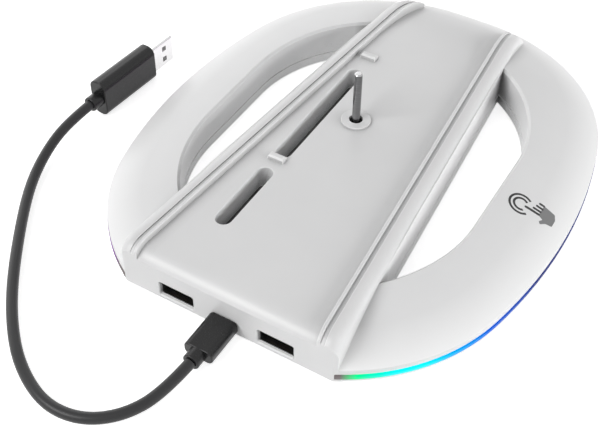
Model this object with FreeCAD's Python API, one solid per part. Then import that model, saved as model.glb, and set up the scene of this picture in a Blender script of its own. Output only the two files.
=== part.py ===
import FreeCAD, Part
import math
import os
from FreeCAD import Vector

# Vertical console stand, in millimetres.
# +Z is up and -Y is the front, where the sockets are.
# The origin lies on the floor below the middle of the body.
# Places named "behind" are measured back from the flat front face, and those named "past_middle"
# back from the middle of the oval that the body is cut from.

# Oval body
stand_width = 163.0
stand_length = 194.5
front_cut = 8.5
side_radius = 200.0
corner_inset = 10.5
end_radius = 345.0
dome_reach = 44.0
dome_rise = 12.0
rim_lip = 1.8
rim_round = 0.6
front_wall = 1.6

# Deck and rails
deck_half_front = 42.0
deck_taper_deg = 4.6
deck_flat_ahead = 66.5
rail_width = 7.6
rail_height = 2.3
rail_end_inset = 8.0
rib_width = 1.2
groove_width = 1.5
groove_depth = 0.35
rib_round = 0.4
shoulder_drop = 0.7
shoulder_radius = 4.0
shoulder_overhang = 0.3
front_roll_radius = 8.0
front_roll_reach = 6.7
front_overrun = 0.8
back_roll_radius = 36.0
back_roll_ahead = 31.0

# D-shaped openings
arm_width = 27.0
opening_front_radius = 59.5
opening_back_radius = 53.0
straight_start_past_middle = -21.0
straight_end_past_middle = 16.0
opening_bevel = 1.0
joint_groove = 0.4

# Slots, tabs and the boss on the deck
slot_x = -18.5
slot_width = 6.0
slot_round = 0.4
slot_wall = 9.0
slot_undercut = 1.5
short_slot_start = 25.3
short_slot_length = 31.8
long_slot_start = 64.3
long_slot_length = 58.7
tab_width = 6.4
tab_depth = 2.8
tab_height = 1.8
tab_bevel = 0.6
near_tab_behind = 62.6
far_tab_behind = 131.9
screw_x = -4.6
screw_behind = 95.6
boss_radius = 5.6
boss_height = 1.0
boss_round = 0.35
boss_bore_radius = 2.6

# Console screw
screw_radius = 1.5
screw_shank_radius = 2.2
screw_reach = 21.2
screw_head_radius = 6.2
screw_head_height = 2.8
screw_end_bevel = 0.4
coin_slot_width = 1.6
coin_slot_depth = 1.4
head_side_clearance = 0.4
head_end_clearance = 0.05
coin_hole_radius = 4.6

# Bottom cover, feet and housing screws
foot_proud = 0.8
foot_radius = 7.0
foot_height = 1.6
foot_clearance = 0.1
front_foot_inset = 27.5
front_foot_past_middle = -64.0
back_foot_inset = 29.5
back_foot_past_middle = 67.0
foot_round = 0.4
cover_floor = 1.3
cover_gap = 0.1
cover_round = 0.7
housing_screw_radius = 1.3
housing_screw_depth = 8.0
housing_head_radius = 2.3
housing_head_height = 1.8
housing_head_sink = 0.2
deck_screw_x = 28.0
deck_screw_behind = 46.0
front_screw_inset = 14.5
front_screw_past_middle = -31.0
side_screw_inset = 17.5
side_screw_past_middle = 35.0
back_screw_ahead = 22.5
hole_clearance = 0.05

# Light strip and the lights behind it
strip_height = 2.4
strip_recess = 0.3
strip_setback = 0.5
strip_depth = 3.3
strip_clearance = 0.1
led_pitch = 20.0
led_width = 2.0
led_depth = 1.0
led_height = 1.6
flex_thickness = 0.35

# Touch switch below the right arm
touch_inset = 13.0
touch_past_middle = -1.0
touch_radius = 7.0
touch_thickness = 1.0
touch_cover = 1.8
touch_tail_width = 3.0
touch_tail_thickness = 0.3
touch_clearance = 0.3

# Hub board with its sockets
bay_half_width = 34.0
bay_depth = 23.0
bay_roof = 11.5
board_half_width = 33.0
board_depth = 18.5
board_thickness = 1.2
board_mid = 5.3
board_setback = 0.8
post_radius = 2.6
post_places = [(-30.0, 16.5), (0.0, 15.0), (30.0, 16.5)]
board_screw_radius = 1.0
board_screw_depth = 4.0
board_head_radius = 1.9
board_head_height = 1.2
chip_height = 0.9
hub_chip_size = 6.0
hub_chip_place = (-8.0, 15.5)
light_chip_size = 4.0
light_chip_place = (8.0, 15.5)
usb_a_x = 19.3
usb_a_mid = 5.45
usb_a_width = 13.3
usb_a_height = 5.8
usb_a_depth = 14.0
usb_a_recess = 1.0
usb_a_wall = 0.35
window_gap = 0.15
window_corner = 0.7
window_bevel = 0.3
tongue_width = 11.0
tongue_thickness = 1.9
tongue_depth = 8.8
tongue_rise = 1.3
tongue_block = 4.0
usb_c_mid = 4.7
usb_c_width = 8.9
usb_c_height = 3.2
usb_c_depth = 7.4
usb_c_wall = 0.25
usb_c_block = 1.2
usb_c_tongue_width = 6.7
usb_c_tongue_thickness = 0.7
usb_c_tongue_depth = 4.4
socket_gap = 0.1

# Power cord and its plugs
cord_radius = 2.0
cord_turn_share = 0.45
plug_c_gap = 0.3
plug_c_width = 10.9
plug_c_height = 5.6
plug_c_length = 15.0
plug_c_edge = 2.2
plug_end_round = 0.5
plug_c_shell_width = 8.2
plug_c_shell_height = 2.4
plug_c_shell_wall = 0.3
plug_c_shell_reach = 5.6
collar_radius = 3.0
collar_round = 0.4
plug_a_width = 15.6
plug_a_height = 7.8
plug_a_length = 30.0
plug_a_edge = 3.2
plug_a_roll_deg = 90.0
plug_a_shell_width = 12.0
plug_a_shell_height = 4.5
plug_a_shell_wall = 0.3
plug_a_shell_corner = 0.7
plug_a_shell_reach = 12.4
plug_a_hole = 2.2
plug_a_hole_spread = 5.0
plug_a_hole_back = 4.0
plug_a_insert_height = 1.9
plug_a_insert_gap = 0.1
collar_a_length = 5.0
# The route's points: across, in front of (-) or behind the front face, and above the floor
cord_route = [
    (0.0, -19.4, 4.7),
    (-1.5, -32.5, 3.0),
    (-7.0, -44.3, 2.2),
    (-16.6, -52.3, 2.1),
    (-29.0, -54.2, 2.1),
    (-42.0, -49.5, 2.1),
    (-55.0, -40.5, 2.1),
    (-71.0, -23.5, 2.1),
    (-90.2, 4.0, 2.1),
    (-100.5, 22.0, 2.2),
    (-104.6, 38.5, 5.0),
    (-104.3, 51.0, 7.4),
    (-103.6, 60.5, 7.8),
]

# Levels and places that follow from the sizes above
half_width = stand_width / 2
corner_radius = half_width - corner_inset
oval_half_length = (stand_length + front_cut) / 2
front_y = -stand_length / 2
back_y = stand_length / 2
oval_y = back_y - oval_half_length
base_z = foot_proud
floor_z = base_z + cover_floor
parting_z = floor_z + strip_height
lip_z = parting_z + rim_lip
deck_z = lip_z + dome_rise
rib_z = deck_z + rail_height
shoulder_z = rib_z - shoulder_drop
above_z = deck_z + screw_reach + boss_height
taper = math.radians(deck_taper_deg)
led_inset = strip_recess + strip_depth + strip_clearance
flex_inset = led_inset + led_depth
ledge_inset = flex_inset + flex_thickness + strip_clearance
dome_radius = (dome_reach ** 2 + dome_rise ** 2) / (2 * dome_rise)


def behind(distance):
    return front_y + distance


def past_middle(distance):
    return oval_y + distance


def box(x0, x1, y0, y1, z0, z1):
    return Part.makeBox(x1 - x0, y1 - y0, z1 - z0, Vector(x0, y0, z0))


def cylinder(radius, x, y, z0, z1):
    return Part.makeCylinder(radius, z1 - z0, Vector(x, y, z0))


def prism(wire, height):
    return Part.Face(wire).extrude(Vector(0, 0, height))


def edges_inside(shape, low, high):
    """The shape's edges that lie in the box between two corners."""
    space = FreeCAD.BoundBox(low.x, low.y, low.z, high.x, high.y, high.z)
    space.enlarge(hole_clearance)
    return [edge for edge in shape.Edges if space.isInside(edge.BoundBox)]


def mirrored(shape):
    return shape.mirror(Vector(0, 0, 0), Vector(1, 0, 0))


def joined(shapes):
    return shapes[0].multiFuse(shapes[1:]).removeSplitter()


def oval_arcs():
    """The oval's arcs, each as its centre, radius, first and last angle, anticlockwise."""
    side_mid = half_width - side_radius
    end_mid = oval_half_length - end_radius
    to_side = side_radius - corner_radius
    to_end = end_radius - corner_radius
    span = math.hypot(side_mid, end_mid)
    along = (to_side ** 2 - to_end ** 2 + span ** 2) / (2 * span)
    aside = math.sqrt(to_side ** 2 - along ** 2)
    corner_x = side_mid + (-side_mid * along - end_mid * aside) / span
    corner_y = (end_mid * along - side_mid * aside) / span
    side_turn = math.atan2(corner_y, corner_x - side_mid)
    end_turn = math.atan2(corner_y - end_mid, corner_x)
    half = math.pi
    arcs = []
    for flip, start in ((1, 0), (-1, half)):
        side = Vector(flip * side_mid, oval_y, 0)
        corner = Vector(flip * corner_x, oval_y + flip * corner_y, 0)
        end = Vector(0, oval_y + flip * end_mid, 0)
        next_corner = Vector(-flip * corner_x, oval_y + flip * corner_y, 0)
        arcs.append((side, side_radius, start - side_turn, start + side_turn))
        arcs.append((corner, corner_radius, start + side_turn, start + end_turn))
        arcs.append((end, end_radius, start + end_turn, start + half - end_turn))
        arcs.append((next_corner, corner_radius, start + half - end_turn, start + half - side_turn))
    return arcs


def out_from(centre, radius, angle, z):
    return Vector(centre.x + radius * math.cos(angle), centre.y + radius * math.sin(angle), z)


def oval_wire(inset, z):
    edges = []
    for centre, radius, first, last in oval_arcs():
        ends = [out_from(centre, radius - inset, angle, z) for angle in (first, (first + last) / 2, last)]
        edges.append(Part.Arc(*ends).toShape())
    return Part.Wire(edges)


def oval_slab(inset, setback, z0, z1):
    """The oval, drawn in by inset and cut flat at setback behind the front face."""
    slab = prism(oval_wire(inset, z0), z1 - z0)
    return slab.cut(box(-stand_width, stand_width, front_y - stand_length, behind(setback), z0, z1))


def rim_band(outer_inset, inner_inset, setback, z0, z1):
    return oval_slab(outer_inset, setback, z0, z1).cut(oval_slab(inner_inset, 0, z0, z1))


def deck_wedge(inset, z0, z1):
    """Plan of the deck, which narrows towards the back."""
    step_in = inset / math.cos(taper)
    front_half = deck_half_front - step_in
    back_half = front_half - stand_length * math.tan(taper)
    corners = [
        Vector(-front_half, front_y, z0),
        Vector(front_half, front_y, z0),
        Vector(back_half, back_y, z0),
        Vector(-back_half, back_y, z0),
    ]
    return prism(Part.makePolygon(corners + corners[:1]), z1 - z0)


def openings(grow, z0, z1):
    """Both D-shaped openings, wider by grow all round: an oval of arcs and straights, less the deck."""
    wide = half_width - arm_width + grow
    front_radius = opening_front_radius + grow
    back_radius = opening_back_radius + grow
    front_line = past_middle(straight_start_past_middle)
    back_line = past_middle(straight_end_past_middle)
    front_mid = wide - front_radius
    back_mid = wide - back_radius

    def on_arc(mid, line, radius, angle):
        return Vector(mid + radius * math.cos(angle), line + radius * math.sin(angle), z0)

    front_angle = -math.acos(-front_mid / front_radius)
    back_angle = math.acos(-back_mid / back_radius)
    front_tip = on_arc(front_mid, front_line, front_radius, front_angle)
    front_bow = on_arc(front_mid, front_line, front_radius, front_angle / 2)
    back_bow = on_arc(back_mid, back_line, back_radius, back_angle / 2)
    back_tip = on_arc(back_mid, back_line, back_radius, back_angle)
    side_front = Vector(wide, front_line, z0)
    side_back = Vector(wide, back_line, z0)
    half = Part.Wire([
        Part.Arc(front_tip, front_bow, side_front).toShape(),
        Part.LineSegment(side_front, side_back).toShape(),
        Part.Arc(side_back, back_bow, back_tip).toShape(),
        Part.LineSegment(back_tip, front_tip).toShape(),
    ])
    right = prism(half, z1 - z0).cut(deck_wedge(grow, z0, z1))
    return Part.makeCompound([right, mirrored(right)])


def dome():
    """Body above the joint: a flat middle and, round it, the dome's arc turned about each oval arc."""
    pieces = [prism(oval_wire(dome_reach, parting_z), deck_z - parting_z)]
    half_reach = dome_reach / 2
    half_drop = dome_radius - math.sqrt(dome_radius ** 2 - half_reach ** 2)
    for centre, radius, first, last in oval_arcs():
        inner = radius - dome_reach
        low_inner = out_from(centre, inner, first, parting_z)
        low_outer = out_from(centre, radius, first, parting_z)
        lip = out_from(centre, radius, first, lip_z)
        bow = out_from(centre, inner + half_reach, first, deck_z - half_drop)
        crown = out_from(centre, inner, first, deck_z)
        section = Part.Wire([
            Part.LineSegment(low_inner, low_outer).toShape(),
            Part.LineSegment(low_outer, lip).toShape(),
            Part.Arc(lip, bow, crown).toShape(),
            Part.LineSegment(crown, low_inner).toShape(),
        ])
        pieces.append(Part.Face(section).revolve(centre, Vector(0, 0, 1), math.degrees(last - first)))
    return joined(pieces)


def rolled_slab(top, width, rolls_at_back):
    """Upright slab along Y whose top rolls down at the front, and at the back if asked, to above its root."""
    start_y = front_y - front_overrun
    front_line = behind(front_roll_reach)
    root = top - back_roll_radius

    def front_point(y):
        rise = math.sqrt(front_roll_radius ** 2 - (front_line - y) ** 2)
        return Vector(0, y, top - front_roll_radius + rise)

    low_front = Vector(0, start_y, root)
    roll_start = front_point(start_y)
    roll_end = Vector(0, front_line, top)
    edges = [
        Part.LineSegment(low_front, roll_start).toShape(),
        Part.Arc(roll_start, front_point((start_y + front_line) / 2), roll_end).toShape(),
    ]
    if rolls_at_back:
        back_line = back_y - back_roll_ahead

        def back_point(y):
            rise = math.sqrt(back_roll_radius ** 2 - (y - back_line) ** 2)
            return Vector(0, y, top - back_roll_radius + rise)

        flat_end = Vector(0, back_line, top)
        top_end = back_point(back_y)
        edges.append(Part.LineSegment(roll_end, flat_end).toShape())
        edges.append(Part.Arc(flat_end, back_point((back_line + back_y) / 2), top_end).toShape())
    else:
        top_end = Vector(0, back_y - deck_flat_ahead, top)
        edges.append(Part.LineSegment(roll_end, top_end).toShape())
    low_back = Vector(0, top_end.y, root)
    edges.append(Part.LineSegment(top_end, low_back).toShape())
    edges.append(Part.LineSegment(low_back, low_front).toShape())
    return Part.Face(Part.Wire(edges)).extrude(Vector(width, 0, 0))


def along_rail(slab, inner_offset):
    """Moves a slab to the right rail, its near side inner_offset inside the deck's side wall."""
    slab.rotate(Vector(0, front_y, 0), Vector(0, 0, 1), deck_taper_deg)
    outward = Vector(math.cos(taper), math.sin(taper), 0)
    slab.translate(Vector(deck_half_front, 0, 0) - outward * inner_offset)
    return slab


def crest_edges(slab, low_x):
    """The edges along the top of a rolled slab that lie past low_x."""
    edges = []
    for edge in slab.Edges:
        span = edge.BoundBox
        if span.XMin > low_x and span.ZMax > parting_z and span.YLength > front_overrun:
            edges.append(edge)
    return edges


def right_rail():
    """Thin rib, a groove, and a rounded shoulder that ends in a crisp edge on the side wall."""
    rib = rolled_slab(rib_z, rib_width, True)
    rib = along_rail(rib.makeFillet(rib_round, crest_edges(rib, -rib_width)), rail_width)
    groove_offset = rail_width - rib_width
    groove = along_rail(rolled_slab(shoulder_z - groove_depth, groove_width, True), groove_offset)
    shoulder_offset = groove_offset - groove_width
    shoulder_width = shoulder_offset + shoulder_overhang
    shoulder = rolled_slab(shoulder_z, shoulder_width, True)
    radius = min(shoulder_radius, shoulder_width - hole_clearance)
    shoulder = shoulder.makeFillet(radius, crest_edges(shoulder, shoulder_width / 2))
    return joined([rib, groove, along_rail(shoulder, shoulder_offset)])


def slot(start, length, grow, z0, z1):
    """Cutter for a round-ended slot, wider by grow all round."""
    near = behind(start + slot_width / 2)
    far = behind(start + length - slot_width / 2)
    radius = slot_width / 2 + grow
    well = box(slot_x - radius, slot_x + radius, near, far, z0, z1)
    near_end = cylinder(radius, slot_x, near, z0, z1)
    far_end = cylinder(radius, slot_x, far, z0, z1)
    return joined([well, near_end, far_end])


def tab(middle):
    """Locating tab on the deck with its top edges bevelled."""
    y = behind(middle)
    block = box(slot_x - tab_width / 2, slot_x + tab_width / 2, y - tab_depth / 2, y + tab_depth / 2,
                deck_z - boss_height, deck_z + tab_height)
    top_edges = [e for e in block.Edges if e.BoundBox.ZMin > deck_z]
    return block.makeChamfer(tab_bevel, top_edges)


def housing_screw_spots():
    spots = [(0.0, back_y - back_screw_ahead)]
    for side in (-1, 1):
        spots.append((side * deck_screw_x, behind(deck_screw_behind)))
        spots.append((side * (half_width - front_screw_inset), past_middle(front_screw_past_middle)))
        spots.append((side * (half_width - side_screw_inset), past_middle(side_screw_past_middle)))
    return spots


def window_corners(x, mid, width, height):
    reach = Vector(width / 2 + window_gap, 0, height / 2 + window_gap)
    middle = Vector(x, front_y, mid)
    return middle - reach, middle + reach


def window(x, mid, width, height):
    """Cutter for a socket's window in the front wall, with rounded corners."""
    low, high = window_corners(x, mid, width, height)
    block = box(low.x, high.x, front_y, behind(front_wall), low.z, high.z)
    corners = [e for e in block.Edges if e.BoundBox.YLength > front_wall / 2]
    return block.makeFillet(window_corner, corners)


screw_y = behind(screw_behind)
touch_x = half_width - touch_inset
touch_y = past_middle(touch_past_middle)
board_top = board_mid + board_thickness / 2
board_low = board_mid - board_thickness / 2
head_low = floor_z + head_end_clearance
head_top = head_low + screw_head_height
touch_fall = dome_reach - (touch_inset - touch_radius)
touch_roof = deck_z - dome_radius + math.sqrt(dome_radius ** 2 - touch_fall ** 2) - touch_cover
tail_x = half_width - ledge_inset - touch_clearance
bay = box(-bay_half_width, bay_half_width, behind(front_wall), behind(bay_depth), floor_z, bay_roof)


def edged_ring():
    """The dome, cut flat at the front and opened, with a rounded rim and bevelled outer edges of the openings."""
    ahead = box(-stand_width, stand_width, front_y - stand_length, front_y, parting_z, above_z)
    gaps = openings(0, parting_z, above_z)
    ring = dome().cut(ahead).cut(gaps)
    deck = deck_wedge(0, parting_z, above_z)
    rim_edges = []
    opening_edges = []
    for edge in ring.Edges:
        middle = Part.Vertex(edge.valueAt((edge.FirstParameter + edge.LastParameter) / 2))
        if edge.BoundBox.ZMin < lip_z - hole_clearance:
            continue
        if edge.BoundBox.ZMax < lip_z + hole_clearance:
            rim_edges.append(edge)
        elif middle.distToShape(gaps)[0] < hole_clearance and middle.distToShape(deck)[0] > hole_clearance:
            opening_edges.append(edge)
    return ring.makeFillet(rim_round, rim_edges).makeChamfer(opening_bevel, opening_edges)


def top_shell():
    ring = edged_ring()
    deck = rolled_slab(deck_z, stand_width, False)
    deck.translate(Vector(-half_width, 0, 0))
    deck = deck.common(deck_wedge(rail_width - rib_width / 2, parting_z, above_z))
    rail = right_rail().common(deck_wedge(0, parting_z, above_z))
    rail = rail.common(oval_slab(0, 0, parting_z, above_z))
    rail = rail.cut(rim_band(0, rail_end_inset, stand_length / 2, parting_z, above_z))
    apron = box(-half_width, half_width, front_y, behind(front_wall), base_z, parting_z)
    apron = apron.common(oval_slab(0, 0, base_z, parting_z))
    apron = apron.cut(rim_band(0, ledge_inset, strip_setback - strip_clearance, floor_z, parting_z))
    body = ring.fuse(deck).fuse(rail).fuse(mirrored(rail)).fuse(apron).cut(bay)

    boss = cylinder(boss_radius, screw_x, screw_y, deck_z - boss_height, deck_z + boss_height)
    boss_rim = [e for e in boss.Edges if e.BoundBox.ZMin > deck_z]
    boss = boss.makeFillet(boss_round, boss_rim)
    posts = [cylinder(post_radius, x, behind(y), board_top, bay_roof) for x, y in post_places]
    body = joined([body, boss, tab(near_tab_behind), tab(far_tab_behind)] + posts)

    cuts = [
        openings(joint_groove, parting_z, parting_z + joint_groove),
        slot(short_slot_start, short_slot_length, 0, parting_z, rib_z),
        slot(short_slot_start, short_slot_length, slot_undercut, parting_z, deck_z - slot_wall),
        slot(long_slot_start, long_slot_length, 0, parting_z, rib_z),
        slot(long_slot_start, long_slot_length, slot_undercut, parting_z, deck_z - slot_wall),
        cylinder(boss_bore_radius, screw_x, screw_y, parting_z, rib_z),
        cylinder(screw_head_radius + head_side_clearance, screw_x, screw_y, parting_z,
                 head_top + head_side_clearance),
        cylinder(touch_radius + touch_clearance, touch_x, touch_y, parting_z, touch_roof),
        box(touch_x, tail_x + touch_clearance, touch_y - touch_tail_width, touch_y + touch_tail_width,
            parting_z, touch_roof),
    ]
    windows = [
        (-usb_a_x, usb_a_mid, usb_a_width, usb_a_height),
        (0, usb_c_mid, usb_c_width, usb_c_height),
        (usb_a_x, usb_a_mid, usb_a_width, usb_a_height),
    ]
    for place in windows:
        cuts.append(window(*place))
    for x, y in post_places:
        cuts.append(cylinder(board_screw_radius + hole_clearance, x, behind(y), board_top,
                             board_low + board_screw_depth + hole_clearance))
    seat = base_z + housing_head_sink + housing_head_height
    for x, y in housing_screw_spots():
        cuts.append(cylinder(housing_screw_radius + hole_clearance, x, y, parting_z,
                             seat + housing_screw_depth + hole_clearance))
    body = body.cut(Part.makeCompound(cuts))

    slot_edges = []
    for start, length in ((short_slot_start, short_slot_length), (long_slot_start, long_slot_length)):
        low = Vector(slot_x - slot_width / 2, behind(start), deck_z)
        high = Vector(slot_x + slot_width / 2, behind(start + length), deck_z)
        slot_edges += edges_inside(body, low, high)
    window_edges = []
    for place in windows:
        window_edges += edges_inside(body, *window_corners(*place))
    return body.makeFillet(slot_round, slot_edges).makeChamfer(window_bevel, window_edges)


def foot_spots():
    front_x = half_width - front_foot_inset
    back_x = half_width - back_foot_inset
    return {
        "foot_front_left": (-front_x, past_middle(front_foot_past_middle)),
        "foot_front_right": (front_x, past_middle(front_foot_past_middle)),
        "foot_back_left": (-back_x, past_middle(back_foot_past_middle)),
        "foot_back_right": (back_x, past_middle(back_foot_past_middle)),
    }


def bottom_cover():
    setback = front_wall + cover_gap
    plate = oval_slab(0, setback, base_z, floor_z)
    low_rim = []
    for edge in plate.Edges:
        span = edge.BoundBox
        if span.ZMax < base_z + hole_clearance and span.YLength > hole_clearance:
            low_rim.append(edge)
    plate = plate.makeFillet(cover_round, low_rim)
    ledge = oval_slab(ledge_inset, setback, floor_z, parting_z)
    cuts = [
        openings(0, base_z, parting_z),
        bay,
        cylinder(screw_head_radius + head_side_clearance, screw_x, screw_y, floor_z, parting_z),
        cylinder(coin_hole_radius, screw_x, screw_y, base_z, floor_z),
    ]
    seat = base_z + housing_head_sink + housing_head_height
    for x, y in housing_screw_spots():
        cuts.append(cylinder(housing_head_radius + hole_clearance, x, y, base_z, seat))
        cuts.append(cylinder(housing_screw_radius + hole_clearance, x, y, seat, parting_z))
    for x, y in foot_spots().values():
        cuts.append(cylinder(foot_radius + foot_clearance, x, y, base_z, foot_height))
    return joined([plate, ledge]).cut(Part.makeCompound(cuts))


def housing_screws():
    head_z = base_z + housing_head_sink
    seat = head_z + housing_head_height
    screws = []
    for x, y in housing_screw_spots():
        head = cylinder(housing_head_radius, x, y, head_z, seat)
        shank = cylinder(housing_screw_radius, x, y, seat, seat + housing_screw_depth)
        screws.append(joined([head, shank]))
    return Part.makeCompound(screws)


def console_screw():
    """Captive screw: a coin-slotted head, a thicker shank in the bore and the free end above the deck."""
    head = cylinder(screw_head_radius, screw_x, screw_y, head_low, head_top)
    shank = cylinder(screw_shank_radius, screw_x, screw_y, head_top, deck_z)
    end = cylinder(screw_radius, screw_x, screw_y, deck_z, above_z)
    tip = [e for e in end.Edges if e.BoundBox.ZMin > deck_z]
    end = end.makeChamfer(screw_end_bevel, tip)
    coin_slot = box(screw_x - screw_head_radius, screw_x + screw_head_radius,
                    screw_y - coin_slot_width / 2, screw_y + coin_slot_width / 2,
                    head_low, head_low + coin_slot_depth)
    return joined([head, shank, end]).cut(coin_slot)


def light_strip():
    return rim_band(strip_recess, strip_recess + strip_depth, strip_setback, floor_z,
                    parting_z - strip_clearance)


def led_flex():
    return rim_band(flex_inset, flex_inset + flex_thickness, front_wall + cover_gap,
                    floor_z, parting_z - strip_clearance)


def leds():
    """Lights spread evenly along the rim, each square to the flexible strip behind it."""
    lights = []
    for edge in oval_wire(flex_inset, floor_z).Edges:
        count = round(edge.Length / led_pitch)
        for step in range(count):
            spot = edge.getParameterByLength(edge.Length * (step + 0.5) / count)
            place = edge.valueAt(spot)
            if place.y < behind(bay_depth):
                continue
            along = edge.tangentAt(spot)
            light = box(-led_width / 2, led_width / 2, strip_clearance - led_depth, 0,
                        floor_z, floor_z + led_height)
            light.rotate(Vector(0, 0, 0), Vector(0, 0, 1), math.degrees(math.atan2(along.y, along.x)))
            light.translate(Vector(place.x, place.y, 0))
            lights.append(light)
    return Part.makeCompound(lights)


def touch_pad():
    top = touch_roof - hole_clearance
    plate = cylinder(touch_radius, touch_x, touch_y, top - touch_thickness, top)
    half = touch_tail_width / 2
    arm = box(touch_x, tail_x, touch_y - half, touch_y + half, top - touch_tail_thickness, top)
    tail = box(tail_x - touch_tail_thickness, tail_x, touch_y - half, touch_y + half,
               parting_z + hole_clearance, top)
    return joined([plate, arm, tail])


def hub_board():
    board = box(-board_half_width, board_half_width, behind(front_wall + board_setback),
                behind(front_wall + board_setback + board_depth), board_low, board_top)
    cuts = [box(-usb_c_width / 2 - socket_gap, usb_c_width / 2 + socket_gap, front_y,
                behind(usb_a_recess + usb_c_depth + socket_gap), board_low, board_top)]
    notch = usb_a_width / 2 + socket_gap
    for x in (-usb_a_x, usb_a_x):
        cuts.append(box(x - notch, x + notch, front_y, behind(usb_a_recess + usb_a_depth + socket_gap),
                        board_low, board_top))
    for x, y in post_places:
        cuts.append(cylinder(board_screw_radius + hole_clearance, x, behind(y), board_low, board_top))
    return board.cut(Part.makeCompound(cuts))


def board_screws():
    screws = []
    for x, y in post_places:
        head = cylinder(board_head_radius, x, behind(y), board_low - board_head_height, board_low)
        shank = cylinder(board_screw_radius, x, behind(y), board_low, board_low + board_screw_depth)
        screws.append(joined([head, shank]))
    return Part.makeCompound(screws)


def chip(place, size):
    x, distance = place
    y = behind(distance)
    return box(x - size / 2, x + size / 2, y - size / 2, y + size / 2, board_top, board_top + chip_height)


def usb_a_shell(x):
    half = usb_a_width / 2
    tall = usb_a_height / 2
    near = behind(usb_a_recess)
    far = near + usb_a_depth
    outer = box(x - half, x + half, near, far, usb_a_mid - tall, usb_a_mid + tall)
    inner = box(x - half + usb_a_wall, x + half - usb_a_wall, near, far - usb_a_wall,
                usb_a_mid - tall + usb_a_wall, usb_a_mid + tall - usb_a_wall)
    return outer.cut(inner)


def usb_a_tongue(x):
    """Block at the back of the socket with the contact tongue reaching forward from it."""
    half = usb_a_width / 2 - usb_a_wall
    tall = usb_a_height / 2 - usb_a_wall
    far = behind(usb_a_recess + usb_a_depth - usb_a_wall)
    near = far - tongue_block
    block = box(x - half, x + half, near, far, usb_a_mid - tall, usb_a_mid + tall)
    low = usb_a_mid + tongue_rise - tongue_thickness / 2
    tongue = box(x - tongue_width / 2, x + tongue_width / 2, near - tongue_depth, near,
                 low, low + tongue_thickness)
    return joined([block, tongue])


def pill_bar(width, height, y0, y1, mid):
    """Bar along Y with a section rounded fully at both sides."""
    half = width / 2
    radius = height / 2
    core = box(-half + radius, half - radius, y0, y1, mid - radius, mid + radius)
    ends = [Part.makeCylinder(radius, y1 - y0, Vector(side * (half - radius), y0, mid), Vector(0, 1, 0))
            for side in (-1, 1)]
    return joined([core] + ends)


def usb_c_socket_shell():
    near = behind(usb_a_recess)
    far = near + usb_c_depth
    outer = pill_bar(usb_c_width, usb_c_height, near, far, usb_c_mid)
    inner = pill_bar(usb_c_width - 2 * usb_c_wall, usb_c_height - 2 * usb_c_wall,
                     near, far - usb_c_wall, usb_c_mid)
    return outer.cut(inner)


def usb_c_socket_tongue():
    far = behind(usb_a_recess + usb_c_depth - usb_c_wall)
    near = far - usb_c_block
    block = pill_bar(usb_c_width - 2 * usb_c_wall, usb_c_height - 2 * usb_c_wall, near, far, usb_c_mid)
    tongue = box(-usb_c_tongue_width / 2, usb_c_tongue_width / 2, near - usb_c_tongue_depth, near,
                 usb_c_mid - usb_c_tongue_thickness / 2, usb_c_mid + usb_c_tongue_thickness / 2)
    return joined([block, tongue])


def soft_block(width, height, length, edge):
    """Moulded plug body along +Y from the origin, its height along Z, with all its edges rounded."""
    block = box(-width / 2, width / 2, 0, length, -height / 2, height / 2)
    long_edges = [e for e in block.Edges if e.BoundBox.YLength > length / 2]
    bar = block.makeFillet(min(edge, height / 2 - hole_clearance), long_edges)
    end_edges = [e for e in bar.Edges if e.BoundBox.YLength < hole_clearance]
    return bar.makeFillet(plug_end_round, end_edges)


plug_c_front = front_y - plug_c_gap
plug_c_back = plug_c_front - plug_c_length
cord_start = Vector(cord_route[0][0], behind(cord_route[0][1]), cord_route[0][2])
cord_end = Vector(cord_route[-1][0], behind(cord_route[-1][1]), cord_route[-1][2])
before_end = Vector(cord_route[-2][0], behind(cord_route[-2][1]), cord_route[-2][2])
plug_a_heading = math.degrees(math.atan2(cord_end.y - before_end.y, cord_end.x - before_end.x)) - 90


def usb_c_plug_body():
    body = soft_block(plug_c_width, plug_c_height, plug_c_length, plug_c_edge)
    body.translate(Vector(0, plug_c_back, usb_c_mid))
    return body


def usb_c_plug_shell():
    far = behind(plug_c_shell_reach)
    outer = pill_bar(plug_c_shell_width, plug_c_shell_height, plug_c_front, far, usb_c_mid)
    inner = pill_bar(plug_c_shell_width - 2 * plug_c_shell_wall, plug_c_shell_height - 2 * plug_c_shell_wall,
                     plug_c_front, far, usb_c_mid)
    return outer.cut(inner)


def collar(length):
    """Strain relief along +Y from the origin, rounded where the cord comes out."""
    sleeve = Part.makeCylinder(collar_radius, length, Vector(0, 0, 0), Vector(0, 1, 0))
    mouth = [e for e in sleeve.Edges if e.BoundBox.YMax < hole_clearance]
    return sleeve.makeFillet(collar_round, mouth)


def usb_c_plug_collar():
    sleeve = collar(plug_c_back - cord_start.y)
    sleeve.translate(cord_start)
    return sleeve


def at_plug_a(shape):
    """Turns a shape made along +Y from the origin on its edge and moves it to the far end of the cord."""
    shape.rotate(Vector(0, 0, 0), Vector(0, 1, 0), plug_a_roll_deg)
    shape.rotate(Vector(0, 0, 0), Vector(0, 0, 1), plug_a_heading)
    shape.translate(cord_end)
    return shape


def usb_a_plug_collar():
    return at_plug_a(collar(collar_a_length))


def usb_a_plug_body():
    body = soft_block(plug_a_width, plug_a_height, plug_a_length, plug_a_edge)
    body.translate(Vector(0, collar_a_length, 0))
    return at_plug_a(body)


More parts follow.
